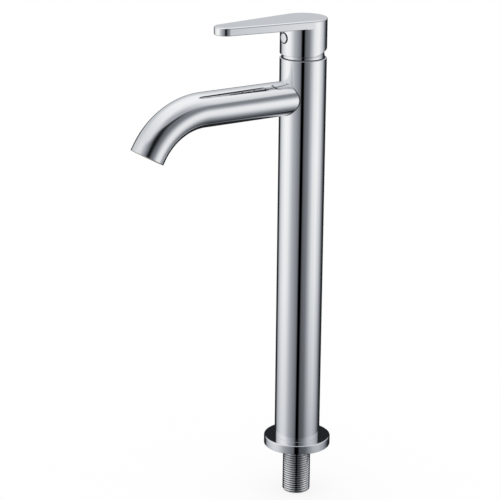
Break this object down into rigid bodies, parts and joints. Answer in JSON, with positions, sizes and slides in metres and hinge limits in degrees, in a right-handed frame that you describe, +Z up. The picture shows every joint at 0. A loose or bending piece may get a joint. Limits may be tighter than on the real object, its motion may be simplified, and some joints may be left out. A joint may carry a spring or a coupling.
{
  "type": "pillar tap",
  "caption": "Tall pillar tap with a round column, a turned-down spout, a lifting lever and a threaded shank under a round base flange.",
  "frame": {"origin": "centre of the base flange's underside, where it lies on the deck", "axes": "+Z up the column, -Y along the spout and the lever, +X to the right of someone who faces the column from behind the spout"},
  "size_m": [0.05, 0.166, 0.3649],
  "materials": {
    "chrome": "polished",
    "chrome_trim": "polished",
    "plated_shank": "bright, as turned",
    "brass": "machined",
    "steel": "drawn",
    "black_rubber": "matte",
    "white_ceramic": "lapped",
    "white_plastic": "moulded",
    "grey_plastic": "moulded"
  },
  "bodies": {
    "tap_body": {"base_flange": "chrome", "base_gasket": "black_rubber", "base_plug": "brass", "shank_seal": "black_rubber", "threaded_shank": "plated_shank", "supply_pipe": "steel", "pipe_seals": "black_rubber", "column_tube": "chrome", "spout_tube": "chrome", "valve_body": "brass", "body_seals": "black_rubber", "cartridge_base": "white_plastic", "port_seals": "black_rubber", "fixed_disc": "white_ceramic", "cartridge_housing": "white_plastic", "stem_pin": "steel", "bonnet_nut": "brass", "cover_seal": "black_rubber", "dome_cover": "chrome", "rim_seal": "black_rubber", "outlet_ring": "brass", "aerator_seal": "black_rubber", "aerator_housing": "grey_plastic", "aerator_core": "grey_plastic", "aerator_screen": "steel"},
    "lever": {"lever_handle": "chrome", "cartridge_stem": "steel", "handle_screw": "steel", "index_plug": "chrome_trim"},
    "disc": {"moving_disc": "white_ceramic", "disc_carrier": "grey_plastic"}
  },
  "joints": [
    {"name": "lever_lift", "type": "hinge", "parent": "tap_body", "child": "lever", "pos_m": [0, 0, 0.29814], "axis": [-1, 0, 0], "range_deg": [0, 25]},
    {"name": "disc_slide", "type": "slide", "parent": "tap_body", "child": "disc", "axis": [0, -1, 0], "range_m": [0, 0.0029]}
  ],
  "couplings": [
    {"joint": "disc_slide", "follows": "lever_lift", "m_per_rad": 0.00659}
  ]
}
